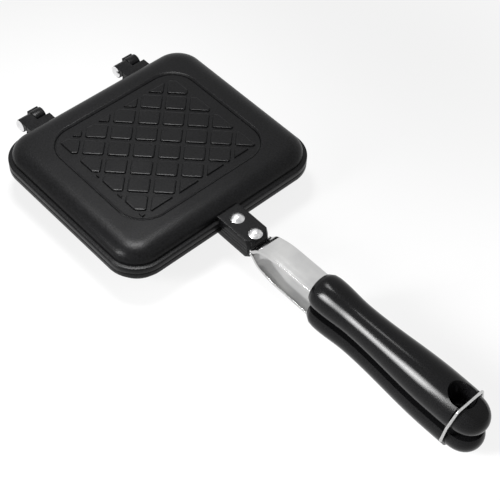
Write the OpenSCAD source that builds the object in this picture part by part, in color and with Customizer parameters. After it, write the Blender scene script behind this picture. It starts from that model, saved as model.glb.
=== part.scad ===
// Double-sided pie iron: two hinged cast pans, steel straps, moulded grips and a wire latch.
// Millimetres, +Z up. The origin is the middle of the lower pan's flat base.
// The handles run towards -Y and the two hinges are at the +Y edge.

/* [Pans] */
// Width of a pan across its rim, left to right
pan_w = 148; // [130:1:170]
// Depth of a pan across its rim, front to back
pan_d = 131; // [120:1:150]
// Height of one pan from its flat outside to the parting face
pan_h = 13.2; // [12:0.1:16]
// Corner radius of the rim, seen from above
rim_r = 20.5; // [17:0.5:24]
// Height of the upright edge of the rim
rim_h = 3.9; // [3:0.1:4.2]
// Width of the ledge between the rim's edge and the domed side
ledge_w = 2.6; // [1.5:0.1:4]
// Chamfer on the rim's edge along the parting line
rim_chamfer = 0.45; // [0.2:0.05:0.8]
// Width of the flat land on which the two rims meet
land_w = 6.2; // [5:0.1:8]
// Thickness of the pan's floor under the sunk panel
floor_t = 2; // [1.6:0.1:2.6]
// Radius between the floor and the wall inside the pan
cavity_r = 6; // [4:0.5:7]

/* [Lattice panel] */
// Width of the sunk panel, left to right
panel_w = 103.7; // [90:0.1:106]
// Depth of the sunk panel, front to back
panel_d = 90.8; // [80:0.1:94]
// Corner radius of the sunk panel
panel_r = 17.8; // [8:0.1:20]
// Depth of the sunk panel, and so the height of the raised diamonds
panel_sink = 0.9; // [0.5:0.1:1.2]
// Distance between diamonds along a row
diamond_pitch = 20.6; // [16:0.1:26]
// Width of the channel between two diamonds
channel_w = 2.7; // [1.5:0.1:4]
// Corner radius of a diamond
diamond_r = 2.2; // [1:0.1:3]
// Plain margin beside the diamonds, left and right
margin_x = 8.2; // [4:0.1:12]
// Plain margin beside the diamonds, front and back
margin_y = 7.3; // [4:0.1:12]
// Sideways offset of the pattern in its panel
pattern_x = -1.8; // [-4:0.1:4]
// Front to back offset of the pattern in its panel
pattern_y = 0.8; // [-4:0.1:4]

/* [Handle lug] */
// Width of the lug that carries the strap
lug_w = 16.4; // [16:0.1:20]
// Reach of the lug's top edge in front of the rim
lug_len = 23.5; // [22:0.5:30]
// Height of the lug above the parting face
lug_h = 6.9; // [6:0.1:8.5]
// Length of the sloping nose at the lug's end
lug_nose = 1.5; // [1:0.1:3]
// Chamfer on the lug's two front corners
lug_chamfer = 2; // [1:0.1:3]

/* [Rivets] */
// Diameter of a rivet's shank
rivet_d = 4.8; // [4:0.1:5.4]
// Diameter of a rivet's domed head
rivet_head_d = 9.2; // [8:0.1:10.5]
// Height of a rivet's domed head
rivet_head_h = 2.3; // [1.5:0.1:3]
// Distance from the rim to the first rivet
rivet_from_rim = 5.6; // [5:0.1:7]
// Distance between the two rivets
rivet_pitch = 15.4; // [12:0.1:16]
// Largest diameter of the closed tail, sunk flush in the strap
rivet_tail_d = 7; // [6:0.1:8]
// Depth of the closed tail's cone
rivet_tail_h = 1.1; // [0.6:0.1:1.5]

/* [Straps] */
// Thickness of the flat steel strap
strap_t = 2; // [1.6:0.1:2.5]
// Width of the strap between lug and grip
strap_w = 15.8; // [14:0.1:16]
// Width of the strap's neck inside the lug
neck_w = 11.6; // [10:0.1:12]
// Distance from the parting face to the strap's inner face in the lug
strap_sink = 0.2; // [0.1:0.1:0.5]
// Distance from the parting face to the middle of the strap at the grip
strap_level = 10; // [9.5:0.1:10.5]
// Inside radius of the bend next to the lug
bend_near_r = 3.5; // [2.5:0.5:5]
// Inside radius of the bend that levels the strap out
bend_far_r = 8; // [6:0.5:10]
// Length of the strap's tang inside the grip
tang_len = 61; // [55:1:70]

/* [Grips] */
// Distance from the rim to the grip's front face
grip_from_rim = 73.8; // [70:0.1:85]
// Length of a grip
grip_len = 120; // [115:1:130]
// Distance from the parting face to the grip's axis
grip_axis = 8; // [7.5:0.1:8.5]
// Distance from the parting face to the grip's flat inner side
grip_gap = 2.6; // [2:0.1:3]
// Radius of the grip's front face
grip_face_r = 9.2; // [9:0.1:10]
// Radius of the swell behind the front face
grip_front_r = 11.4; // [11:0.1:13]
// Radius of the grip's waist
grip_waist_r = 10.2; // [10:0.1:11]
// Radius of the grip's long swell near the tip
grip_back_r = 12.8; // [12.2:0.1:13.2]
// Length of the stepped cap at the tip
cap_len = 15; // [14:0.1:17]
// Depth of the step in front of the cap
cap_step = 1.2; // [0.8:0.1:1.6]
// Distance from the tip to the middle of the hanging hole
hang_from_tip = 17.4; // [16:0.1:20]
// Diameter of the hanging hole
hang_d = 9; // [7:0.1:10]
// Diameter of the dish round the hanging hole, on the grip's axis line
hang_dish_d = 18; // [15:0.1:20]
// Depth of the dish round the hanging hole
hang_dish_h = 9; // [6:0.1:10]

/* [Grip screws] */
// Diameter of the screw's thread
screw_d = 4; // [3:0.1:4.5]
// Diameter of the screw's head
screw_head_d = 7; // [6:0.1:8]
// Height of the screw's head
screw_head_h = 2.2; // [1.8:0.1:2.6]
// Length of the screw under its head
screw_len = 8; // [7:0.1:9]
// Distance from the grip's front face to the screw
screw_from_face = 42; // [30:1:50]

/* [Hinges] */
// Distance between the middles of the two hinges
hinge_span = 75.5; // [60:0.5:90]
// Width of a hinge's tongue on each pan
hinge_w = 18.3; // [18:0.1:22]
// Width of the upper pan's knuckle
upper_knuckle_w = 9; // [7:0.1:9]
// Width of the lower pan's knuckle
lower_knuckle_w = 7.7; // [6:0.1:9]
// Distance from the rim to the hinge's axis
hinge_reach = 12; // [11:0.1:14]
// Thickness of the hinge's tongue outside the parting face
hinge_t = 4.6; // [4.2:0.1:4.8]
// Radius of the knuckle on the far side of the parting face
knuckle_r = 4.5; // [4:0.1:4.8]
// Reach of the stop ridge behind the lower knuckle, measured from the axis
ridge_reach = 5.6; // [5:0.1:5.6]
// Height of the stop ridge above the parting face
ridge_h = 2.3; // [1:0.1:2.3]
// Side gap between the two halves of a hinge
hinge_side_gap = 0.3; // [0.2:0.05:0.6]
// Diameter of the hinge pin
pin_d = 4; // [3.5:0.1:4.4]
// Diameter of the pin's domed head
pin_head_d = 7.8; // [6:0.1:8.4]
// Height of the pin's domed head
pin_head_h = 1.7; // [1.2:0.1:2.4]
// Radial running clearance of pins and wire ends in their bores
run_gap = 0.04; // [0.02:0.01:0.08]

/* [Wire latch] */
// Diameter of the latch wire
wire_d = 1.6; // [1.2:0.1:2]
// Distance from the tip to the latch's pivot
pivot_from_tip = 15.6; // [15:0.1:16.5]
// Distance from the pivot to the middle of the crossbar
latch_reach = 26.7; // [26:0.1:28]
// Lean of the closed latch towards the tip
latch_lean = 5.6; // [5:0.1:7]
// Half the length of the crossbar
crossbar_half = 9.4; // [8.6:0.1:10]
// Side gap between the latch's legs and the grip
leg_gap = 0.3; // [0.2:0.05:0.6]
// Depth of the holes that take the wire's ends
socket_depth = 4.2; // [3:0.1:4.5]
// Bend radius of the shoulders, in the middle of the wire
wire_bend_r = 2; // [1.6:0.1:2.4]
// Bend radius of the feet, in the middle of the wire
foot_bend_r = 1.1; // [0.9:0.1:1.1]

/* [Hidden] */
$fn = 64;

cast_black = "#262628";
rivet_silver = "#d9dadc";
strap_steel = "#c9cacb";
grip_black = "#1b1b1d";
pin_steel = "#dedfe0";

// Both slopes have a sine and cosine that are short decimals, so curved and straight parts meet exactly:
// the strap rises 3 for every 4 along, the latch's shoulders lean in 0.352 for every 0.936 up.
strap_angle = asin(0.6);
shoulder_angle = asin(0.352);

// Shared places and sizes, worked out from the values above.
seat_gap = 0.1;
far = 60;
rim_front = pan_d / 2;
dome_r = pan_h - rim_h - 0.3;
cavity_depth = pan_h - panel_sink - floor_t;
hinge_y = pan_d / 2 + hinge_reach;
tail_r = hinge_t;
tongue_gap = 0.15;
tongue_end = hinge_reach - sqrt(ridge_reach * ridge_reach + ridge_h * ridge_h) - tongue_gap;
strap_mid = strap_sink + strap_t / 2;
lug_front = rim_front + lug_len + lug_nose;
bend_near = bend_near_r + strap_t / 2;
bend_far = bend_far_r + strap_t / 2;
slope_rise = strap_level - strap_mid - (bend_near + bend_far) * (1 - cos(strap_angle));
slope_len = round(1000 * slope_rise / sin(strap_angle)) / 1000;
level_start = lug_front + slope_len * cos(strap_angle) + (bend_near + bend_far) * sin(strap_angle);
grip_front = rim_front + grip_from_rim;
grip_tip = grip_front + grip_len;
tang_end = grip_front + tang_len;
rivet_first = rim_front + rivet_from_rim;
screw_at = grip_front + screw_from_face;
hang_at = grip_tip - hang_from_tip;
pivot_at = grip_tip - pivot_from_tip;
leg_x = grip_back_r + leg_gap + wire_d / 2;
saddle_r = latch_reach - wire_d / 2 - 0.15;

// ---------- shared shapes ----------

// Puts a half made with its parting face at z = 0 and its outside below into the lower place.
module as_lower() {
    translate([0, 0, pan_h]) children();
}

// The upper half is the same half turned over about the front to back axis.
module as_upper() {
    translate([0, 0, pan_h]) rotate([0, 180, 0]) children();
}

module rounded_rect(w, d, r) {
    square([w - 2 * r, d], center = true);
    square([w, d - 2 * r], center = true);
    for (sx = [-1, 1])
        for (sy = [-1, 1])
            translate([sx * (w / 2 - r), sy * (d / 2 - r)]) circle(r = r);
}

// Carries a wall section round a rounded rectangle. The section stands in x >= 0, where x = 0 is
// the corner's centre line, and y is the height.
module ring_of(w, d, r) {
    for (a = [0, 90, 180, 270]) {
        along = (a == 0 || a == 180) ? d : w;
        across = (a == 0 || a == 180) ? w : d;
        rotate([0, 0, a]) {
            translate([across / 2 - r, along / 2 - r, 0]) rotate_extrude(angle = 90) children();
            translate([across / 2 - r, along / 2 - r, 0]) rotate([90, 0, 0])
                linear_extrude(along - 2 * r) children();
        }
    }
}

// ---------- pan casting ----------

// Section of the pan's outside: chamfered rim, ledge and quarter-round side.
module outer_section() {
    top = pan_h - dome_r;
    polygon([
        [0, 0], [rim_r - rim_chamfer, 0], [rim_r, -rim_chamfer], [rim_r, -rim_h],
        [rim_r - ledge_w, -top], [0, -top]
    ]);
    translate([0, -pan_h]) square([rim_r - ledge_w - dome_r, dome_r]);
    intersection() {
        translate([rim_r - ledge_w - dome_r, -top]) circle(r = dome_r);
        translate([rim_r - ledge_w - dome_r, -pan_h]) square([dome_r, dome_r]);
    }
}

module outer_solid() {
    ring_of(pan_w, pan_d, rim_r) outer_section();
    translate([0, 0, -pan_h / 2]) cube([pan_w - 2 * rim_r, pan_d - 2 * rim_r, pan_h], center = true);
}

// Section of the space inside the pan, with its own corner radius.
module cavity_section(r) {
    straight = cavity_depth - cavity_r;
    translate([0, -straight]) square([r, straight + 1]);
    translate([0, -cavity_depth]) square([r - cavity_r, cavity_r]);
    intersection() {
        translate([r - cavity_r, -straight]) circle(r = cavity_r);
        translate([r - cavity_r, -cavity_depth]) square([cavity_r, cavity_r]);
    }
}

module cavity() {
    w = pan_w - 2 * land_w;
    d = pan_d - 2 * land_w;
    r = rim_r - land_w;
    ring_of(w, d, r) cavity_section(r);
    translate([0, 0, (1 - cavity_depth) / 2])
        cube([w - 2 * r, d - 2 * r, cavity_depth + 1], center = true);
}

// One raised diamond: a square on its corner with rounded corners.
function diamond(cx, cy) = [
    for (k = [0:3])
        for (a = [-30, 0, 30])
            let (reach = diamond_half() - diamond_r * sqrt(2))
                [cx + reach * cos(90 * k) + diamond_r * cos(90 * k + a),
                 cy + reach * sin(90 * k) + diamond_r * sin(90 * k + a)]
];
function diamond_half() = (diamond_pitch - channel_w * sqrt(2)) / 2;

module diamonds() {
    nx = ceil(panel_w / diamond_pitch);
    ny = ceil(panel_d / diamond_pitch);
    intersection() {
        square([panel_w - 2 * margin_x, panel_d - 2 * margin_y], center = true);
        for (i = [-nx:nx])
            for (j = [-ny:ny])
                if ((i + j) % 2 != 0)
                    polygon(diamond(pattern_x + i * diamond_pitch / 2, pattern_y + j * diamond_pitch / 2));
    }
}

module sunk_panel() {
    translate([0, 0, -pan_h - 1]) linear_extrude(panel_sink + 1) difference() {
        rounded_rect(panel_w, panel_d, panel_r);
        diamonds();
    }
}

// The lug at the front: flat outside, sloping nose and a channel for the strap's neck.
module lug() {
    root = rim_front - ledge_w - dome_r;
    corner = lug_w / 2 - lug_chamfer;
    intersection() {
        rotate([90, 0, 90]) translate([0, 0, -lug_w / 2]) linear_extrude(lug_w) polygon([
            [-root, 0], [-lug_front, 0], [-lug_front, -strap_sink - strap_t - 0.6],
            [-lug_front + lug_nose, -lug_h], [-root, -lug_h]
        ]);
        translate([0, 0, -lug_h]) linear_extrude(lug_h) polygon([
            [-lug_w / 2, -root], [-lug_w / 2, -lug_front + lug_chamfer], [-corner, -lug_front],
            [corner, -lug_front], [lug_w / 2, -lug_front + lug_chamfer], [lug_w / 2, -root]
        ]);
    }
}

module lug_channel() {
    depth = strap_sink + strap_t;
    back = rivet_first - rivet_tail_d / 2 - 1 - seat_gap;
    translate([-neck_w / 2 - seat_gap, -lug_front - 1, -depth])
        cube([neck_w + 2 * seat_gap, lug_front + 1 - back, depth + 1]);
}

module rivet_hole(y) {
    translate([0, -y, -lug_h - 1]) cylinder(d = rivet_d + 2 * run_gap, h = lug_h + 2);
}

// One half of a hinge, with a knuckle of the given width on the +X side of its middle. Only the
// lower pan's knuckles have the stop ridge.
module hinge_half(cx, own, ridge) {
    root = rim_front - ledge_w - dome_r;
    own_x = cx + hinge_side_gap / 2;
    tail_y = hinge_y - 0.9;
    translate([cx - hinge_w / 2, root, -hinge_t])
        cube([hinge_w, rim_front + tongue_end - root, hinge_t - rim_chamfer]);
    translate([own_x, 0, 0]) rotate([90, 0, 90]) linear_extrude(own) difference() {
        union() {
            translate([rim_front + tongue_end - 1, -hinge_t]) square([tail_y - rim_front - tongue_end + 1, hinge_t]);
            intersection() {
                translate([tail_y, 0]) circle(r = tail_r);
                translate([tail_y, -tail_r]) square([tail_r, tail_r]);
            }
            intersection() {
                translate([hinge_y, 0]) circle(r = knuckle_r);
                translate([hinge_y - knuckle_r, 0]) square([2 * knuckle_r, knuckle_r]);
            }
            if (ridge) translate([hinge_y + 2.6, -1.6]) square([ridge_reach - 2.6, ridge_h + 1.6]);
        }
        translate([hinge_y, 0]) circle(r = pin_d / 2 + run_gap);
    }
}

// Both pans are this casting; only their knuckles differ.
module pan_casting(knuckle_w, ridge) {
    color(cast_black) difference() {
        union() {
            outer_solid();
            lug();
            for (s = [-1, 1]) hinge_half(s * hinge_span / 2, knuckle_w, ridge);
        }
        cavity();
        sunk_panel();
        lug_channel();
        for (k = [0, 1]) rivet_hole(rivet_first + k * rivet_pitch);
    }
}

module lower_pan() {
    as_lower() pan_casting(lower_knuckle_w, true);
}

module upper_pan() {
    as_upper() pan_casting(upper_knuckle_w, false);
}

// ---------- rivets ----------

// A domed rivet whose tail is closed flush in the strap's countersink.
module rivet(k) {
    dome = (rivet_head_d * rivet_head_d / 4 + rivet_head_h * rivet_head_h) / (2 * rivet_head_h);
    tail = strap_sink + rivet_tail_h;
    color(rivet_silver) translate([0, -rivet_first - k * rivet_pitch, 0]) {
        translate([0, 0, -lug_h]) cylinder(d = rivet_d, h = lug_h - tail);
        translate([0, 0, -tail]) cylinder(d1 = rivet_d, d2 = rivet_tail_d, h = rivet_tail_h);
        intersection() {
            translate([0, 0, -lug_h - rivet_head_h + dome]) sphere(r = dome);
            translate([0, 0, -lug_h - rivet_head_h]) cylinder(d = rivet_head_d + 2, h = rivet_head_h);
        }
    }
}

module lower_rivet_front() {
    as_lower() rivet(1);
}

module lower_rivet_back() {
    as_lower() rivet(0);
}

module upper_rivet_front() {
    as_upper() rivet(1);
}

module upper_rivet_back() {
    as_upper() rivet(0);
}

// ---------- straps ----------

// A flat bar bent round a centre, from straight down to the given angle.
module bent_bar(inner_r, angle) {
    intersection() {
        difference() {
            circle(r = inner_r + strap_t);
            circle(r = inner_r);
        }
        translate([0, -far]) square([far, far]);
        rotate(angle) translate([-far, -far]) square([far, far]);
    }
}

// Side view of the strap: along the handle in x, away from the parting face in y. Each part is
// placed at the end of the one before it.
module strap_side() {
    neck_start = rivet_first - rivet_tail_d / 2 - 1;
    translate([neck_start, strap_sink]) square([lug_front - neck_start, strap_t]);
    translate([lug_front, strap_mid + bend_near]) {
        bent_bar(bend_near_r, strap_angle);
        rotate(strap_angle) translate([0, -bend_near]) {
            translate([0, -strap_t / 2]) square([slope_len, strap_t]);
            translate([slope_len, -bend_far]) rotate(-strap_angle) {
                rotate(strap_angle) mirror([0, 1]) bent_bar(bend_far_r, strap_angle);
                translate([0, bend_far - strap_t / 2]) square([tang_end - level_start, strap_t]);
            }
        }
    }
}

module strap() {
    shoulder = lug_front + 0.2;
    cut = (strap_w - neck_w) / 2 + 1;
    color(strap_steel) difference() {
        translate([-strap_w / 2, 0, 0]) rotate([90, 180, 90]) linear_extrude(strap_w) strap_side();
        for (s = [-1, 1])
            translate([s * (neck_w / 2 + cut / 2), -shoulder / 2, -strap_sink - strap_t / 2])
                cube([cut, shoulder, strap_t + 1], center = true);
        for (k = [0, 1]) {
            rivet_hole(rivet_first + k * rivet_pitch);
            translate([0, -rivet_first - k * rivet_pitch, -strap_sink - rivet_tail_h])
                cylinder(d1 = rivet_d + 2 * run_gap, d2 = rivet_tail_d + 2 * run_gap, h = rivet_tail_h);
        }
        translate([0, -screw_at, -strap_level - strap_t]) cylinder(d = screw_d + 2 * run_gap, h = 2 * strap_t);
    }
}

module lower_strap() {
    as_lower() strap();
}

module upper_strap() {
    as_upper() strap();
}

// ---------- grips ----------

function blend(a, b, t) = a + (b - a) * (1 - cos(180 * t)) / 2;

// Radius of the grip at a distance from its front face: a rounded shoulder, a swell, the waist,
// the long swell and a drawn-in end before the cap.
function grip_radius(u) =
    let (shoulder = 8, waist = 30, swell = 90)
        u < shoulder ? grip_face_r + (grip_front_r - grip_face_r) * sqrt(1 - pow(1 - u / shoulder, 2))
        : u < waist ? blend(grip_front_r, grip_waist_r, (u - shoulder) / (waist - shoulder))
        : u < swell ? blend(grip_waist_r, grip_back_r, (u - waist) / (swell - waist))
        : blend(grip_back_r, grip_back_r - 0.8, (u - swell) / (2 * (grip_len - swell)));

// Radius of the cap: a full, rounded curve that closes at the tip.
function cap_radius(t) = (grip_radius(grip_len - cap_len) - cap_step) * sqrt(1 - pow(t, 2.4));

module grip_body() {
    body = [for (k = [0:36]) let (u = k / 36 * (grip_len - cap_len)) [grip_radius(u), u]];
    cap = [for (k = [0:11]) let (t = sin(90 * k / 12)) [cap_radius(t), grip_len - cap_len * (1 - t)]];
    translate([0, -grip_front, -grip_axis]) rotate([90, 0, 0])
        rotate_extrude() polygon(concat([[0, 0]], body, cap, [[0, grip_len]]));
}

module grip() {
    head_top = grip_gap + screw_head_h + 0.4;
    difference() {
        grip_body();
        translate([-far / 2, -grip_tip - 1, -grip_gap]) cube([far, grip_len + 2, far]);
        translate([-strap_w / 2 - seat_gap, -tang_end - seat_gap, -strap_level - strap_t / 2 - seat_gap / 2])
            cube([strap_w + 2 * seat_gap, tang_len + seat_gap + 1, strap_t + seat_gap]);
        translate([0, -screw_at, -head_top]) cylinder(d = screw_head_d + 2 * seat_gap, h = head_top);
        translate([0, -screw_at, -head_top - screw_len - 1]) cylinder(d = screw_d + 2 * run_gap, h = head_top + screw_len);
        translate([0, -hang_at, -far]) cylinder(d = hang_d, h = far);
        translate([0, -hang_at, -grip_axis - grip_back_r])
            cylinder(d1 = hang_dish_d, d2 = hang_d, h = hang_dish_h);
    }
}

// Blind holes in the lower grip's sides for the two ends of the latch wire.
module sockets() {
    for (s = [-1, 1])
        translate([s * (grip_back_r - socket_depth / 2 + 1), -pivot_at, -grip_axis]) rotate([0, 90, 0])
            cylinder(d = wire_d + 2 * run_gap, h = socket_depth + 2, center = true);
}

// The upper cap's crown is cut back on an arc about the latch's pivot, so the crossbar swings clear.
module saddle() {
    translate([0, -pivot_at, grip_axis]) rotate([0, 90, 0]) difference() {
        translate([0, -cap_len / 2 - far / 4 + pivot_at - grip_tip + cap_len, 0])
            cube([4 * far, cap_len + far / 2, far], center = true);
        cylinder(r = saddle_r, h = 2 * far, center = true, $fn = 180);
    }
}

module lower_grip() {
    color(grip_black) as_lower() difference() {
        grip();
        sockets();
    }
}

module upper_grip() {
    color(grip_black) as_upper() difference() {
        grip();
        saddle();
    }
}

// The screw goes in from the grip's flat inner side and threads into the strap's tang.
module grip_screw() {
    head_top = grip_gap + screw_head_h + 0.4;
    color(rivet_silver) translate([0, -screw_at, 0]) difference() {
        union() {
            translate([0, 0, -head_top]) cylinder(d = screw_head_d, h = screw_head_h);
            translate([0, 0, -head_top - screw_len]) cylinder(d = screw_d, h = screw_len);
        }
        translate([0, 0, -head_top + screw_head_h]) cube([screw_head_d + 1, 1, 1.8], center = true);
    }
}

module lower_grip_screw() {
    as_lower() grip_screw();
}

module upper_grip_screw() {
    as_upper() grip_screw();
}

// ---------- hinge pins ----------

// A steel pin with a domed head at the left and a small closed tail at the right.
module hinge_pin(cx) {
    side = 0.1;
    tail_h = 0.8;
    middle = hinge_side_gap / 2;
    dome = (pin_head_d * pin_head_d / 4 + pin_head_h * pin_head_h) / (2 * pin_head_h);
    left = cx - middle - upper_knuckle_w - side;
    right = cx + middle + lower_knuckle_w + side;
    color(pin_steel) translate([0, hinge_y, pan_h]) rotate([0, 90, 0]) {
        translate([0, 0, left]) cylinder(d = pin_d, h = right - left);
        translate([0, 0, right]) cylinder(d1 = pin_d + 1.6, d2 = pin_d + 0.6, h = tail_h);
        intersection() {
            translate([0, 0, left - pin_head_h + dome]) sphere(r = dome);
            translate([0, 0, left - pin_head_h]) cylinder(d = pin_head_d + 2, h = pin_head_h);
        }
    }
}

module hinge_pin_left() {
    hinge_pin(-hinge_span / 2);
}

module hinge_pin_right() {
    hinge_pin(hinge_span / 2);
}

// ---------- wire latch ----------

// A straight run of wire from the origin along +X, with what follows placed at its end.
module run(len) {
    rotate([0, 90, 0]) cylinder(d = wire_d, h = len, $fn = 20);
    translate([len, 0, 0]) children();
}

// A left-hand bend of up to 90 degrees that starts at the origin along +X.
module bend(angle, r) {
    translate([0, r, 0]) {
        intersection() {
            rotate_extrude($fn = 48) translate([r, 0]) circle(d = wire_d, $fn = 20);
            translate([far / 2, -far / 2, 0]) cube([far, far, far], center = true);
            rotate([0, 0, angle]) translate([-far / 2, -far / 2, 0]) cube([far, far, far], center = true);
        }
        rotate([0, 0, angle]) translate([0, -r, 0]) children();
    }
}

// One half of the latch, from the middle of the crossbar to the hooked end in its socket.
module latch_half() {
    inner_x = grip_back_r - socket_depth + 0.3;
    turn = 90 - shoulder_angle;
    trim_top = round(1000 * wire_bend_r * tan(turn / 2)) / 1000;
    trim_mid = round(1000 * wire_bend_r * tan(shoulder_angle / 2)) / 1000;
    slope = round(1000 * (leg_x - crossbar_half) / sin(shoulder_angle)) / 1000;
    leg = latch_reach - round(1000 * slope * cos(shoulder_angle)) / 1000;
    run(crossbar_half - trim_top) bend(turn, wire_bend_r)
        run(slope - trim_top - trim_mid) bend(shoulder_angle, wire_bend_r)
        run(leg - trim_mid - foot_bend_r) bend(90, foot_bend_r)
        run(leg_x - foot_bend_r - inner_x);
}

module wire_latch() {
    color(pin_steel) translate([0, -pivot_at, pan_h - grip_axis]) rotate([90 + latch_lean, 0, 0])
        for (s = [0, 1]) mirror([s, 0, 0]) translate([0, latch_reach, 0]) mirror([0, 1, 0]) latch_half();
}

lower_pan();
lower_rivet_front();
lower_rivet_back();
lower_strap();
lower_grip();
lower_grip_screw();
hinge_pin_left();
hinge_pin_right();
upper_pan();
upper_rivet_front();
upper_rivet_back();
upper_strap();
upper_grip();
upper_grip_screw();
wire_latch();
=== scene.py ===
import math

import bmesh
import bpy
import numpy as np
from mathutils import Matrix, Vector


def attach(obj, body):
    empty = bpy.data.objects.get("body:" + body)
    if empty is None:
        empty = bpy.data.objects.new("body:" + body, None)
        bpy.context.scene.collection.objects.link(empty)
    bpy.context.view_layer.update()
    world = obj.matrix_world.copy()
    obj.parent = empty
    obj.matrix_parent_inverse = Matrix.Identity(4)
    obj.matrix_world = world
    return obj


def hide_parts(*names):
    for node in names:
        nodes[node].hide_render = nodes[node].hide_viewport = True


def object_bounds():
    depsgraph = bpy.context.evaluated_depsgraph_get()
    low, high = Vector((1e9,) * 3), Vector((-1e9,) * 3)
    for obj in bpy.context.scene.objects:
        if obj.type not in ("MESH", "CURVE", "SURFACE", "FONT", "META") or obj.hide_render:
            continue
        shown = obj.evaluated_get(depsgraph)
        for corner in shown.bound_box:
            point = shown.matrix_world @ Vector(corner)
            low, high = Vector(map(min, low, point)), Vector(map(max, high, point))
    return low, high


# A closed pie iron on a pale floor: two hinged cast pans with straps, grips and a wire latch.
# The scene is in metres, in the drawing's own frame. New pieces are worked out in millimetres.
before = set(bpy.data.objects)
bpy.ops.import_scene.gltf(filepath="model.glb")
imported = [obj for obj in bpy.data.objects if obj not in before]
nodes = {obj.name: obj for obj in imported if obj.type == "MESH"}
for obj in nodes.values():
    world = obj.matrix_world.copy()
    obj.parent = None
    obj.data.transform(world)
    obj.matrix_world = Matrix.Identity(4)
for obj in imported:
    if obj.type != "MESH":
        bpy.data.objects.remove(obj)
size_before = [list(corner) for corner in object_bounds()]
scene = bpy.context.scene
scene.view_settings.view_transform = "Standard"

# ---------- camera ----------
# The photograph is taken from the front left, about 51 degrees above the iron, with a long lens and a slight
# roll. Place, turns and lens were fitted to what it shows.
camera_place = (-0.31768, -0.40331, 0.55277)
camera_turns = (39.285, -1.8366, -42.4973)
camera_data = bpy.data.cameras.new("camera")
camera_data.lens = 87.66
camera_data.sensor_width = 36
camera_data.clip_end = 20
camera = bpy.data.objects.new("camera", camera_data)
camera.location = camera_place
camera.rotation_euler = [math.radians(turn) for turn in camera_turns]
scene.collection.objects.link(camera)
scene.camera = camera


# ---------- floor and light ----------
# A pale, level floor in a white room. It lies just under the lowest line of the grips, so that the closed
# iron and the opened one both lie over it, and it turns white a little way out. A tall soft box stands at
# the left, and a small one hangs over the pans.
def node_tree(owner):
    """Empties the node tree of a material or a world. Gives what adds a node to it and what links two."""
    owner.use_nodes = True
    owner.node_tree.nodes.clear()
    return owner.node_tree.nodes.new, owner.node_tree.links.new


def seen_directly(add, link):
    """1 for what the camera, a mirror or a clear piece sees, and 0 for light that falls on matte surfaces."""
    path = add("ShaderNodeLightPath")
    value = path.outputs["Is Camera Ray"]
    for other in ("Is Glossy Ray", "Is Transmission Ray"):
        either = add("ShaderNodeMath")
        either.operation = "MAXIMUM"
        link(value, either.inputs[0])
        link(path.outputs[other], either.inputs[1])
        value = either.outputs[0]
    return value


def soft_box(name, place, towards, width, height, watts, beam):
    """A flat lamp of the given size at a place, turned towards a point, with a grid that narrows its beam."""
    data = bpy.data.lights.new(name, "AREA")
    data.shape = "RECTANGLE"
    data.size, data.size_y = width, height
    data.energy = watts
    data.spread = math.radians(beam)
    lamp = bpy.data.objects.new(name, data)
    lamp.location = place
    lamp.visible_camera = False
    lamp.rotation_euler = (Vector(towards) - Vector(place)).to_track_quat("-Z", "Y").to_euler()
    scene.collection.objects.link(lamp)


floor_half, floor_gap = 3.0, 0.0001
pale_within, white_beyond, pale_share = 0.2, 0.5, 0.84
floor_z = size_before[0][2] - floor_gap
floor_corners = [(x * floor_half, y * floor_half, floor_z) for x, y in ((-1, -1), (1, -1), (1, 1), (-1, 1))]
floor_mesh = bpy.data.meshes.new("floor")
floor_mesh.from_pydata(floor_corners, [], [(0, 1, 2, 3)])
floor = bpy.data.objects.new("floor", floor_mesh)
scene.collection.objects.link(floor)

floor_paint = bpy.data.materials.new("floor_paint")
add, link = node_tree(floor_paint)
out = add("ShaderNodeOutputMaterial")
matte = add("ShaderNodeBsdfDiffuse")
matte.inputs["Color"].default_value = (0.86, 0.86, 0.86, 1)
white = add("ShaderNodeEmission")
white.inputs["Color"].default_value = (1, 1, 1, 1)
white.inputs["Strength"].default_value = 1.0
coords = add("ShaderNodeTexCoord")
distance = add("ShaderNodeVectorMath")
distance.operation = "LENGTH"
link(coords.outputs["Object"], distance.inputs[0])
whiter = add("ShaderNodeMapRange")
whiter.interpolation_type = "SMOOTHSTEP"
whiter.inputs["From Min"].default_value = pale_within
whiter.inputs["From Max"].default_value = white_beyond
whiter.inputs["To Min"].default_value = pale_share
whiter.inputs["To Max"].default_value = 1.0
link(distance.outputs["Value"], whiter.inputs["Value"])
share = add("ShaderNodeMath")
share.operation = "MULTIPLY"
link(seen_directly(add, link), share.inputs[0])
link(whiter.outputs["Result"], share.inputs[1])
blend = add("ShaderNodeMixShader")
link(share.outputs[0], blend.inputs["Fac"])
link(matte.outputs[0], blend.inputs[1])
link(white.outputs[0], blend.inputs[2])
link(blend.outputs[0], out.inputs["Surface"])
floor_mesh.materials.append(floor_paint)

world = bpy.data.worlds.new("studio")
scene.world = world
add, link = node_tree(world)
out = add("ShaderNodeOutputWorld")
room = add("ShaderNodeBackground")
room.inputs["Color"].default_value = (1, 1, 1, 1)
room.inputs["Strength"].default_value = 0.3
white = add("ShaderNodeBackground")
white.inputs["Color"].default_value = (1, 1, 1, 1)
white.inputs["Strength"].default_value = 1.0
choose = add("ShaderNodeMixShader")
link(seen_directly(add, link), choose.inputs["Fac"])
link(room.outputs[0], choose.inputs[1])
link(white.outputs[0], choose.inputs[2])
link(choose.outputs[0], out.inputs["Surface"])

soft_box("tall_box", place=(-0.458, 0.0, 0.306), towards=(0, -0.24, 0.02),
         width=0.17, height=0.39, watts=0.9, beam=40)
soft_box("overhead_box", place=(0.01, 0.087, 0.445), towards=(-0.05, 0.03, 0.02),
         width=0.14, height=0.14, watts=0.33, beam=56)


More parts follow.
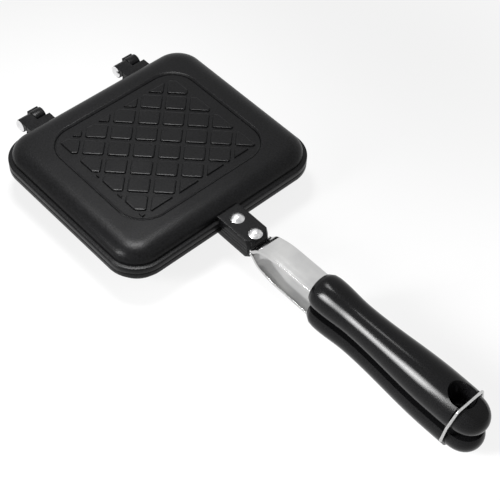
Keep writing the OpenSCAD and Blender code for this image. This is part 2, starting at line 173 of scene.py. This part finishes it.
# ---------- pans ----------
# Two equal castings, each with a rim ledge, a domed edge and a sunk panel of pressed pads, and with its lug
# and hinge hooks cast on. A dark non-stick coat is sprayed over the whole casting and baked, which softens
# every edge. The upper pan is the lower one turned over.
def rounded_rectangle(half_width, half_depth, radius, per_corner=25):
    """Quarter circles of the radius about four corner centres, joined by straight lines, all the way round.
    Gives the points and the direction in which the outline faces at each."""
    turn = np.linspace(0, np.pi / 2, per_corner)[None, :] + np.pi / 2 * np.arange(4)[:, None]
    corner = np.array([[1, 1], [-1, 1], [-1, -1], [1, -1]])[:, None, :]
    facing = np.stack([np.cos(turn), np.sin(turn)], axis=-1)
    outline = corner * np.array([half_width - radius, half_depth - radius]) + radius * facing
    return outline.reshape(-1, 2), facing.reshape(-1, 2)


def arc_points(middle, radius, start, end, count):
    """Points on a circle about the middle, at even angles from start to end in degrees."""
    turn = np.radians(np.linspace(start, end, count))
    return np.column_stack([middle[0] + radius * np.cos(turn), middle[1] + radius * np.sin(turn)])


def closed_rows(rows, first, last):
    """Points and faces for rows of points that each close round, with an end point before and one after."""
    count, around = rows.shape[:2]
    at = 1 + np.arange(count * around).reshape(count, around)
    after = np.roll(at, -1, axis=1)
    sides = np.stack([at[:-1], after[:-1], after[1:], at[1:]], axis=-1).reshape(-1, 4)
    first_cap = np.stack([np.zeros(around, int), after[0], at[0]], axis=-1)
    last_cap = np.stack([np.full(around, 1 + count * around), at[-1], after[-1]], axis=-1)
    points = np.concatenate([[first], rows.reshape(-1, 3), [last]])
    return points, sides.tolist() + first_cap.tolist() + last_cap.tolist()


def soft_step(t):
    """Goes from 0 to 1 with a level start and end: 3 t squared less 2 t cubed."""
    return t * t * (3 - 2 * t)


pan_w, pan_d, pan_h, rim_r, least_r = 148.0, 131.0, 13.2, 20.5, 2.0
rim_front = pan_d / 2
ledge_w, dome_w, dome_h, dome_power, land_w = 2.6, 12.5, 9.0, 2 / 2.3, 6.2
panel_w, panel_d, panel_r, panel_sink = 103.7, 90.8, 17.85, 0.9
panel_z = pan_h - panel_sink
slope_w, apron_w, groove_w, groove_depth = 2.0, 0.9, 0.9, 0.5
cavity_r, floor_t, in_wall = 6.0, 2.0, 60.3
middle_patch = (20.0, 15.0, 4.0)


def sunk_edge():
    """Rows across the edge of the sunk panel. q is the distance out from the panel's foot. The height follows
    a soft step over the slope, less half a cosine wave for the groove, which runs at the foot of the slope on
    the back and right and at its top on the front and left, and crosses it in the two corners between."""
    shift = slope_w / 2
    foot, facing = rounded_rectangle(panel_w / 2 - shift, panel_d / 2 - shift, panel_r - shift)
    foot = foot + shift * np.array([-1, 1])
    crossing = np.clip((1 + facing[:, 0] - facing[:, 1]) / 2, 0, 1)
    groove_at = slope_w * crossing
    half = groove_w / 2
    t = np.linspace(0, 1, 9)[:, None]
    inner = -apron_w + t[:-1] * (groove_at - half + apron_w)
    across = groove_at + half * np.linspace(-1, 1, 15)[:, None]
    outer = groove_at + half + t[1:] * (slope_w + apron_w - groove_at - half)
    q = np.concatenate([inner, across, outer])
    wave = np.clip((q - groove_at) / half, -1, 1)
    slope = panel_sink * (1 - soft_step(np.clip(q / slope_w, 0, 1)))
    z = pan_h - slope - groove_depth * (1 + np.cos(np.pi * wave)) / 2
    return np.concatenate([foot[None] + q[:, :, None] * facing[None], z[:, :, None]], axis=-1)


def pan_shell():
    """Rounded rectangles one inside the next. From the middle of the outside: the sunk panel, its edge, the
    land, a quarter superellipse for the dome, the ledge, the rim, the parting face, then the hollow and its
    floor. The profile is made of distances in from the rim and heights over the parting face, and its sprayed
    edges are three or four points each."""
    arc = np.linspace(0, np.pi / 2, 21)
    dome = np.column_stack([ledge_w + dome_w * (1 - np.sin(arc) ** dome_power),
                            pan_h - dome_h * (1 - np.cos(arc) ** dome_power)])
    dome_foot = [[2.62, 4.55], [2.5, 4.3], [2.2, 4.17]]
    rim_edge = [[0.7, 3.98], [0.35, 3.9], [0.1, 3.65], [0, 3.3]]
    parting_edge = [[0, 0.6], [0.1, 0.3], [0.4, 0.06], [0.8, 0.0]]
    land_lip = [[land_w - 0.5, 0.0], [land_w - 0.1, 0.12], [land_w, 0.5]]
    deep = panel_z - floor_t
    hollow = arc_points((land_w + cavity_r, deep - cavity_r), cavity_r, 180, 90, 13)
    profile = np.concatenate([dome[:-1], dome_foot, rim_edge, parting_edge, land_lip, hollow])

    def level(half_width, half_depth, radius, z):
        """One rounded rectangle at a height."""
        outline = rounded_rectangle(half_width, half_depth, radius)[0]
        return np.column_stack([outline, np.full(len(outline), z)])[None]

    rows = [level(*middle_patch, panel_z), sunk_edge()]
    rows += [level(pan_w / 2 - s, pan_d / 2 - s, max(rim_r - s, least_r), z) for s, z in profile]
    rows += [level(*middle_patch, deep)]
    return closed_rows(np.concatenate(rows), (0, 0, panel_z), (0, 0, deep))


def soft_block(corners, radius, inset, along, around=64, cap=0.85):
    """A convex block with soft edges. In each direction round it, its outline is the furthest of the corners
    plus the radius in that direction, less the row's inset. along gives each row's place on the third axis,
    and each end closes over its own outline shrunk to the cap's share."""
    turn = np.arange(around) * 2 * np.pi / around
    facing = np.column_stack([np.cos(turn), np.sin(turn)])
    furthest = corners[np.argmax(corners @ facing.T, axis=0)]
    outline = furthest[None] + (radius - inset)[:, None, None] * facing[None]
    middle = corners.mean(axis=0)
    shrunk = middle + cap * (outline[[0, -1]] - middle)
    outline = np.concatenate([shrunk[:1], outline, shrunk[1:]])
    along = np.concatenate([along[:1], along, along[-1:]])
    along = np.broadcast_to(along[:, None, None], outline.shape[:2] + (1,))
    rows = np.concatenate([outline, along], axis=-1)
    return closed_rows(rows, (*middle, along[0, 0, 0]), (*middle, along[-1, 0, 0]))


def soft_ends(low, high, edge):
    """Insets and places of the rows of a block from low to high whose two ends are rounded by the edge."""
    arc = np.linspace(0, np.pi / 2, 5)
    inset = np.concatenate([edge * (1 - np.sin(arc)), edge * (1 - np.cos(arc))])
    return inset, np.concatenate([low + edge * (1 - np.cos(arc)), high - edge * (1 - np.sin(arc))])


pad_facing = np.radians([135.0, 45.6])
pad_pitch, pad_first, pad_half = np.array([13.95, 15.1]), np.array([8.15, 7.83]), np.array([5.88, 6.46])
pad_corner_r, pad_edge, pad_flare, pad_shoulder, pad_root, pad_skirt = 1.6, 0.3, 0.1, 0.45, 0.3, 0.02
lattice_half_w, lattice_half_d, lattice_reach = 44.0, 38.6, 6


def pressed_pads():
    """Pads on a slanting grid, cut off at a rectangle. A pad is what lies inside its four sides, the lines
    that round its corners and the four lines of the cut. Its corners are the crossings inside all lines."""
    across = np.column_stack([np.cos(pad_facing), np.sin(pad_facing)])
    steps = np.arange(-lattice_reach, lattice_reach)
    grid = np.stack([axis.ravel() for axis in np.meshgrid(steps, steps)])
    middles = np.linalg.solve(across, pad_first[:, None] + pad_pitch[:, None] * grid).T
    swing = np.linspace(0, 1, 7)[:, None]
    normals, reach = [], []
    for signs in ((1, 1), (1, -1), (-1, -1), (-1, 1)):
        pair = across * np.array(signs)[:, None]
        centre = np.linalg.solve(pair, pad_half - pad_corner_r)
        fan = (1 - swing) * pair[0] + swing * pair[1]
        fan = fan / np.linalg.norm(fan, axis=1)[:, None]
        normals.append(fan)
        reach.append(fan @ centre + pad_corner_r)
    normals, keep = np.unique(np.round(np.concatenate(normals), 6), axis=0, return_index=True)
    reach = np.concatenate(reach)[keep]
    cut = np.array([[1, 0], [0, 1], [-1, 0], [0, -1]], float)
    limit = np.array([lattice_half_w, lattice_half_d] * 2)
    lines = np.concatenate([normals, cut])
    one, other = np.triu_indices(len(lines), 1)
    slant = lines[one, 0] * lines[other, 1] - lines[one, 1] * lines[other, 0]
    crossing = np.abs(slant) > 1e-6
    one, other, slant = one[crossing], other[crossing], slant[crossing]
    t = np.linspace(0, 1, 9)
    inset = np.concatenate([[-pad_flare], pad_shoulder * t - pad_flare])
    rise = (panel_sink + pad_skirt) * soft_step(t) - pad_skirt
    height = panel_z + np.concatenate([[-pad_root], rise])
    pads = []
    for middle in middles:
        room_for = np.concatenate([reach + normals @ middle, limit]) - pad_edge
        x = (room_for[one] * lines[other, 1] - room_for[other] * lines[one, 1]) / slant
        y = (room_for[other] * lines[one, 0] - room_for[one] * lines[other, 0]) / slant
        points = np.column_stack([x, y])
        inside = (points @ lines.T <= room_for + 1e-6).all(axis=1)
        if inside.sum() > 2:
            pads.append(soft_block(points[inside], pad_edge, inset, height))
    return pads


lug_l, lug_half, lug_h, lug_cut, lug_edge, lug_cut_inset = 25.0, 8.2, 6.9, 2.0, 0.35, 0.15
channel_half, channel_h = 5.9, 2.2
cheek_top, cheek_start, cheek_edge, cheek_cut_inset = 2.6, 0.03, 0.25, 0.1
heel_l, heel_half, nose_start, nose_lean = 0.95, 8.15, 2.8, 1.5
lug_front = rim_front + lug_l


def lug_blocks():
    """The lug: a block with cut corners and a sloping nose, on two cheeks and a heel round the strap's
    channel. Corners are set in by the soft edge, and a cut corner by an inset that keeps the cut in place."""
    def cut_side(s, edge, inset):
        """The three corners of a side that runs from the pan's wall to the cut corner at the front."""
        cut = lug_cut + inset
        return [[s * (lug_half - edge), -in_wall], [s * (lug_half - edge), cut - lug_front],
                [s * (lug_half - cut), edge - lug_front]]

    inset, along = soft_ends(channel_h, lug_h, lug_edge)
    block = np.array(cut_side(1, lug_edge, lug_cut_inset) + cut_side(-1, lug_edge, lug_cut_inset)[::-1])
    points, faces = soft_block(block, lug_edge, inset, along)
    lean = nose_lean * np.clip((points[:, 2] - nose_start) / (lug_h - nose_start), 0, 1)
    points[:, 1] += np.where(points[:, 1] < lug_cut + 1 - lug_front, lean, 0.0)
    made = [(points, faces)]
    inset, along = soft_ends(cheek_start, cheek_top, cheek_edge)
    for s in (-1, 1):
        inner = s * (channel_half + cheek_edge)
        outside = cut_side(s, cheek_edge, cheek_cut_inset)
        cheek = np.array([[inner, -in_wall]] + outside + [[inner, cheek_edge - lug_front]])
        made.append(soft_block(cheek, cheek_edge, inset, along))
    x, y = heel_half - cheek_edge, cheek_edge - rim_front - heel_l
    heel = np.array([[-x, -in_wall], [x, -in_wall], [x, y], [-x, y]])
    made.append(soft_block(heel, cheek_edge, inset, along))
    return made


hinge_span, hinge_reach, hinge_t, hinge_edge, side_gap = 75.5, 12.0, 4.6, 0.35, 0.15
lower_knuckle_w, upper_knuckle_w, knuckle_r, tail_short = 7.7, 9.0, 4.5, 0.9
ridge_reach, ridge_h, ridge_in, ridge_root, ridge_edge, turning_gap = 5.6, 2.3, 3.0, 1.2, 0.3, 0.15
tongue_start = 0.45
hinge_y = rim_front + hinge_reach
tongue_end = hinge_y - math.hypot(ridge_reach, ridge_h) - turning_gap


def hinge_hook(middle, knuckle_w, ridge):
    """A hinge half: the tongue, a hook that ends in a quarter circle just short of the pin, a half circle
    about the pin for the barrel, and the stop ridge."""
    tongue_half, edge = upper_knuckle_w + side_gap, hinge_edge
    low, high, tongue_in, tongue_out = tongue_start + edge, hinge_t - edge, in_wall, tongue_end - edge
    inset, along = soft_ends(middle - tongue_half, middle + tongue_half, edge)
    tongue = np.array([[tongue_in, low], [tongue_out, low], [tongue_out, high], [tongue_in, high]])
    made = [soft_block(tongue, edge, inset, along)]
    inset, along = soft_ends(middle + side_gap, middle + side_gap + knuckle_w, edge)
    tail = arc_points((hinge_y - tail_short, 0), high, 0, 90, 9)
    hook = np.concatenate([[[tongue_end - 1, edge], [tongue_end - 1, high]], tail])
    made.append(soft_block(hook, edge, inset, along))
    barrel = arc_points((hinge_y, 0), knuckle_r - edge, -180, 0, 17)
    made.append(soft_block(barrel, edge, inset, along))
    if ridge:
        y, z = hinge_y + ridge_reach - ridge_edge, ridge_edge - ridge_h
        rib = np.array([[hinge_y + ridge_in, ridge_root], [y, ridge_root], [y, z], [hinge_y + ridge_in, z]])
        made.append(soft_block(rib, ridge_edge, inset, along))
    return [(points[:, [2, 0, 1]], faces) for points, faces in made]


def half_piece(name, parts, upper, finish, soft_angle):
    """Joins parts made in millimetres, with their outside at positive height, and puts them in the lower or
    the upper place. The parting plane is one pan's height up, and an upper piece is the lower one turned half
    round the long axis."""
    points, faces, shift = [], [], 0
    for part_points, part_faces in parts:
        points.append(part_points)
        faces += [[k + shift for k in face] for face in part_faces]
        shift += len(part_points)
    points = np.concatenate(points)
    side = 1.0 if upper else -1.0
    placed = np.column_stack([-side * points[:, 0], points[:, 1], pan_h + side * points[:, 2]]) / 1000
    mesh = bpy.data.meshes.new(name)
    mesh.from_pydata(placed.tolist(), [], faces)
    mesh.materials.append(finish)
    shell = bmesh.new()
    shell.from_mesh(mesh)
    bmesh.ops.recalc_face_normals(shell, faces=shell.faces)
    shell.to_mesh(mesh)
    shell.free()
    mesh.shade_smooth()
    mesh.set_sharp_from_angle(angle=math.radians(soft_angle))
    piece = bpy.data.objects.new(name, mesh)
    scene.collection.objects.link(piece)
    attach(piece, "upper_half" if upper else "lower_half")
    return piece


def object_noise(add, link, scale, stretch=(1, 1, 1), detail=3.0):
    """A noise over the object's own coordinates: scale is in cycles per metre, stretch per axis."""
    coords = add("ShaderNodeTexCoord")
    mapping = add("ShaderNodeMapping")
    mapping.inputs["Scale"].default_value = stretch
    noise = add("ShaderNodeTexNoise")
    noise.inputs["Scale"].default_value = scale
    noise.inputs["Detail"].default_value = detail
    link(coords.outputs["Object"], mapping.inputs["Vector"])
    link(mapping.outputs[0], noise.inputs["Vector"])
    return noise.outputs["Fac"]


def spread(add, link, value, low, high, start=0.3, end=0.7):
    """Moves a value between start and end to between low and high."""
    ranged = add("ShaderNodeMapRange")
    ranged.inputs["From Min"].default_value = start
    ranged.inputs["From Max"].default_value = end
    ranged.inputs["To Min"].default_value = low
    ranged.inputs["To Max"].default_value = high
    link(value, ranged.inputs["Value"])
    return ranged.outputs["Result"]


def two_tone(add, link, value, dark, light, start=0.35, end=0.65):
    """Goes from one colour to another as a value goes from start to end."""
    ramp = add("ShaderNodeValToRGB")
    ramp.color_ramp.elements[0].position = start
    ramp.color_ramp.elements[0].color = (*dark, 1)
    ramp.color_ramp.elements[1].position = end
    ramp.color_ramp.elements[1].color = (*light, 1)
    link(value, ramp.inputs["Fac"])
    return ramp.outputs["Color"]


def bumped(add, link, value, depth, strength):
    """A normal that follows a value as a height of the given depth in metres."""
    bump = add("ShaderNodeBump")
    bump.inputs["Strength"].default_value = strength
    bump.inputs["Distance"].default_value = depth
    link(value, bump.inputs["Height"])
    return bump.outputs["Normal"]


def finish_nodes(name, metallic, ior=1.5):
    """A new material with one Principled shader, what adds and links its nodes, and the shader."""
    made = bpy.data.materials.new(name)
    add, link = node_tree(made)
    out = add("ShaderNodeOutputMaterial")
    skin = add("ShaderNodeBsdfPrincipled")
    skin.inputs["Metallic"].default_value = metallic
    skin.inputs["IOR"].default_value = ior
    link(skin.outputs[0], out.inputs["Surface"])
    return made, add, link, skin


# The coat is charcoal with a fine sprayed grain and a satin sheen that varies softly over the casting.
pan_coating, add, link, skin = finish_nodes("pan_coating", metallic=0.0, ior=1.22)
grain = object_noise(add, link, scale=1100, detail=2.0)
cloud = object_noise(add, link, scale=45, detail=4.0)
coat_colour = two_tone(add, link, grain, dark=(0.001, 0.001, 0.0012), light=(0.006, 0.006, 0.0066))
link(coat_colour, skin.inputs["Base Color"])
link(spread(add, link, cloud, low=0.30, high=0.36), skin.inputs["Roughness"])
link(bumped(add, link, grain, depth=0.0001, strength=0.8), skin.inputs["Normal"])

for upper in (False, True):
    half = "upper" if upper else "lower"
    parts = [pan_shell()] + pressed_pads() + lug_blocks()
    for s in (-1, 1):
        parts += hinge_hook(s * hinge_span / 2, upper_knuckle_w if upper else lower_knuckle_w, not upper)
    pan = half_piece(half + "_cast_pan", parts, upper, pan_coating, soft_angle=40)
    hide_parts(half + "_pan")


# ---------- rivets ----------
# Two aluminium rivets hold each strap in its lug. The domed head is outside, and the tail is closed flush in
# the strap's countersink. The heads are bright, faintly marked by the rivet set.
def turned(profile, x, y, around=48):
    """Circles of the profile's radii at its heights, about an axis that stands at x and y."""
    turn = np.arange(around) * 2 * np.pi / around
    radii, heights = np.array(profile)[1:-1, :, None].transpose(1, 0, 2)
    rows = np.stack([x + radii * np.cos(turn), y + radii * np.sin(turn), heights + 0 * turn], axis=-1)
    return closed_rows(rows, (x, y, profile[0][1]), (x, y, profile[-1][1]))


rivet_d, rivet_head_d, rivet_head_h, rivet_tail_d, rivet_tail_h = 4.8, 8.5, 2.3, 7.0, 1.1
rivet_first, rivet_pitch, strap_sink = rim_front + 5.6, 15.4, 0.2
rivet_soft, head_inset, tail_inset, tail_dish = 0.12, 0.15, 0.2, 0.08

rivet_metal, add, link, skin = finish_nodes("rivet_metal", metallic=1.0)
marks = object_noise(add, link, scale=500, detail=4.0)
rivet_colour = two_tone(add, link, marks, dark=(0.44, 0.44, 0.45), light=(0.62, 0.62, 0.62))
link(rivet_colour, skin.inputs["Base Color"])
link(spread(add, link, marks, low=0.24, high=0.36), skin.inputs["Roughness"])
link(bumped(add, link, marks, depth=0.00008, strength=0.35), skin.inputs["Normal"])

# The head is a cap of a sphere. The tail's face dips a little and has a soft edge, and so has the head's.
cap_r = (rivet_head_d ** 2 / 4 + rivet_head_h ** 2) / (2 * rivet_head_h)
swing = np.linspace(math.asin(rivet_head_d / 2 / cap_r), 0, 13)[1:]
head = np.column_stack([cap_r * np.sin(swing), lug_h + rivet_head_h - cap_r * (1 - np.cos(swing))])
stem = [(0, strap_sink + tail_dish), (1.0, strap_sink + 0.75 * tail_dish),
        (rivet_tail_d / 2 - tail_inset, strap_sink), (rivet_tail_d / 2, strap_sink + rivet_soft),
        (rivet_d / 2, strap_sink + rivet_tail_h), (rivet_d / 2, lug_h),
        (rivet_head_d / 2 - head_inset, lug_h), (rivet_head_d / 2, lug_h + rivet_soft)]
rivet_profile = stem + head.tolist()
for upper in (False, True):
    half = "upper" if upper else "lower"
    for k, where in ((0, "back"), (1, "front")):
        rivet_body = turned(rivet_profile, 0, -rivet_first - k * rivet_pitch)
        rivet = half_piece(half + "_domed_rivet_" + where, [rivet_body], upper, rivet_metal, soft_angle=35)
        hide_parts(half + "_rivet_" + where)


# ---------- straps ----------
# A strip of cold-rolled steel with rolled edges and faint lines along it. Its narrow neck lies in the lug's
# channel, it is bent up and then level again, and its tang goes on inside the grip.
def bend(radius, turn, count):
    """One step of a bent line: an arc's length, its turn in degrees and the count of its parts."""
    return radius * math.radians(abs(turn)), turn, count


def bent_line(start, steps):
    """A line from the start, of straight runs and arcs: (length, turn in degrees, count of parts) per step.
    A part's chord is its length times the sine of half its turn over that half. Gives points and headings."""
    lengths = np.concatenate([np.full(count, length / count) for length, turn, count in steps])
    turns = np.concatenate([np.full(count, math.radians(turn) / count) for length, turn, count in steps])
    headings = np.concatenate([[0.0], np.cumsum(turns)])
    chords = lengths * np.sinc(turns / 2 / np.pi)
    middles = headings[:-1] + turns / 2
    moves = chords[:, None] * np.column_stack([np.cos(middles), np.sin(middles)])
    return np.concatenate([[start], start + np.cumsum(moves, axis=0)]), headings


strap_t, strap_w, neck_w, neck_step, strap_edge = 2.0, 15.8, 11.6, 0.1, 0.04
strap_start, tang_l = (67.0, strap_sink + strap_t / 2), 85.5
neck_end = lug_front - neck_step
strap_line, strap_heading = bent_line(strap_start, [
    (neck_end - strap_start[0], 0, 8), (neck_step, 0, 1), bend(3.5, 48, 12), (3.0, 0, 3), bend(10, -28, 10),
    bend(45, -20, 16), (tang_l, 0, 20)])


def strap_body():
    """A rounded rectangle carried along the strap's line, square to it, and widened where the neck ends."""
    neck = rounded_rectangle(neck_w / 2, strap_t / 2, strap_edge, per_corner=6)[0]
    wide = rounded_rectangle(strap_w / 2, strap_t / 2, strap_edge, per_corner=6)[0]
    in_neck = strap_line[:, 0] < neck_end + neck_step / 2
    section = np.where(in_neck[:, None, None], neck, wide)
    x, out = section[:, :, 0], section[:, :, 1]
    y = out * np.sin(strap_heading)[:, None] - strap_line[:, :1]
    z = out * np.cos(strap_heading)[:, None] + strap_line[:, 1:]
    rows = np.stack([x, y, z], axis=-1)
    return closed_rows(rows, rows[0].mean(axis=0), rows[-1].mean(axis=0))


strap_steel, add, link, skin = finish_nodes("strap_steel", metallic=1.0)
lines = object_noise(add, link, scale=700, stretch=(1, 0.02, 1), detail=2.0)
cloud = object_noise(add, link, scale=60, detail=3.0)
strap_colour = two_tone(add, link, cloud, dark=(0.51, 0.51, 0.51), light=(0.60, 0.60, 0.595))
link(strap_colour, skin.inputs["Base Color"])
link(spread(add, link, lines, low=0.11, high=0.19), skin.inputs["Roughness"])
link(bumped(add, link, lines, depth=0.00002, strength=0.5), skin.inputs["Normal"])
for upper in (False, True):
    half = "upper" if upper else "lower"
    strap = half_piece(half + "_bent_strap", [strap_body()], upper, strap_steel, soft_angle=50)
    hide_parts(half + "_strap")


# ---------- grips ----------
# Half-round handles moulded in black phenolic, with a polished skin, that close to one waisted grip. Each is
# slid over its strap's tang and held by one screw, and each has a dished hanging hole near the tip.
def polished_copy(node, name, body, finish, soft_angle):
    """A copy of a solid's mesh with its triangles joined up, so that light runs on over its round faces."""
    mesh = nodes[node].data.copy()
    mesh.name = name
    shell = bmesh.new()
    shell.from_mesh(mesh)
    shell.transform(nodes[node].matrix_world)
    bmesh.ops.remove_doubles(shell, verts=shell.verts, dist=1e-6)
    bmesh.ops.recalc_face_normals(shell, faces=shell.faces)
    shell.to_mesh(mesh)
    shell.free()
    mesh.attributes.remove(mesh.attributes["custom_normal"])
    mesh.materials.clear()
    mesh.materials.append(finish)
    mesh.shade_smooth()
    mesh.set_sharp_from_angle(angle=math.radians(soft_angle))
    piece = bpy.data.objects.new(name, mesh)
    scene.collection.objects.link(piece)
    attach(piece, body)
    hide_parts(node)
    return piece


grip_plastic, add, link, skin = finish_nodes("grip_plastic", metallic=0.0, ior=1.21)
flow = object_noise(add, link, scale=30, stretch=(1, 0.3, 1), detail=3.0)
dust = object_noise(add, link, scale=1800, detail=2.0)
grip_colour = two_tone(add, link, dust, dark=(0.002, 0.002, 0.0022), light=(0.005, 0.005, 0.0053))
link(grip_colour, skin.inputs["Base Color"])
link(spread(add, link, flow, low=0.14, high=0.22), skin.inputs["Roughness"])
link(bumped(add, link, flow, depth=0.0002, strength=0.15), skin.inputs["Normal"])
for half in ("lower", "upper"):
    grip = polished_copy(half + "_grip", half + "_moulded_grip", half + "_half", grip_plastic, soft_angle=32)


# ---------- grip screws ----------
# Zinc-plated pan screws, sunk in the flat inner face of each grip and driven through the tang. They are the
# drawing's own solids with a new finish.
def give_finish(node, finish):
    """Puts one finish on the whole of a solid."""
    for slot in nodes[node].material_slots:
        slot.material = finish


screw_plating, add, link, skin = finish_nodes("screw_plating", metallic=1.0)
turning = object_noise(add, link, scale=1400, detail=2.0)
screw_colour = two_tone(add, link, turning, dark=(0.50, 0.50, 0.49), light=(0.62, 0.62, 0.60))
link(screw_colour, skin.inputs["Base Color"])
link(spread(add, link, turning, low=0.24, high=0.38), skin.inputs["Roughness"])
link(bumped(add, link, turning, depth=0.00002, strength=0.4), skin.inputs["Normal"])
for half in ("lower", "upper"):
    give_finish(half + "_grip_screw", screw_plating)


# ---------- hinge pins ----------
# Headed pins of bright plated steel, fixed in the lower pan's knuckles, on which the upper pan's turn. They
# are the drawing's own solids.
pin_plating, add, link, skin = finish_nodes("pin_plating", metallic=1.0)
scuffs = object_noise(add, link, scale=900, detail=4.0)
pin_colour = two_tone(add, link, scuffs, dark=(0.72, 0.72, 0.73), light=(0.86, 0.86, 0.86))
link(pin_colour, skin.inputs["Base Color"])
link(spread(add, link, scuffs, low=0.16, high=0.30), skin.inputs["Roughness"])
link(bumped(add, link, scuffs, depth=0.00003, strength=0.4), skin.inputs["Normal"])
for side in ("left", "right"):
    give_finish("hinge_pin_" + side, pin_plating)


# ---------- wire latch ----------
# One piece of bright spring wire, bent to a bail with sloping shoulders. Its two feet snap into the lower
# grip. It is the drawing's own solid.
drawn_wire, add, link, skin = finish_nodes("drawn_wire", metallic=1.0)
draw_marks = object_noise(add, link, scale=1400, detail=2.0)
wire_colour = two_tone(add, link, draw_marks, dark=(0.44, 0.44, 0.44), light=(0.58, 0.58, 0.575))
link(wire_colour, skin.inputs["Base Color"])
link(spread(add, link, draw_marks, low=0.16, high=0.26), skin.inputs["Roughness"])
link(bumped(add, link, draw_marks, depth=0.00002, strength=0.4), skin.inputs["Normal"])
give_finish("wire_latch", drawn_wire)
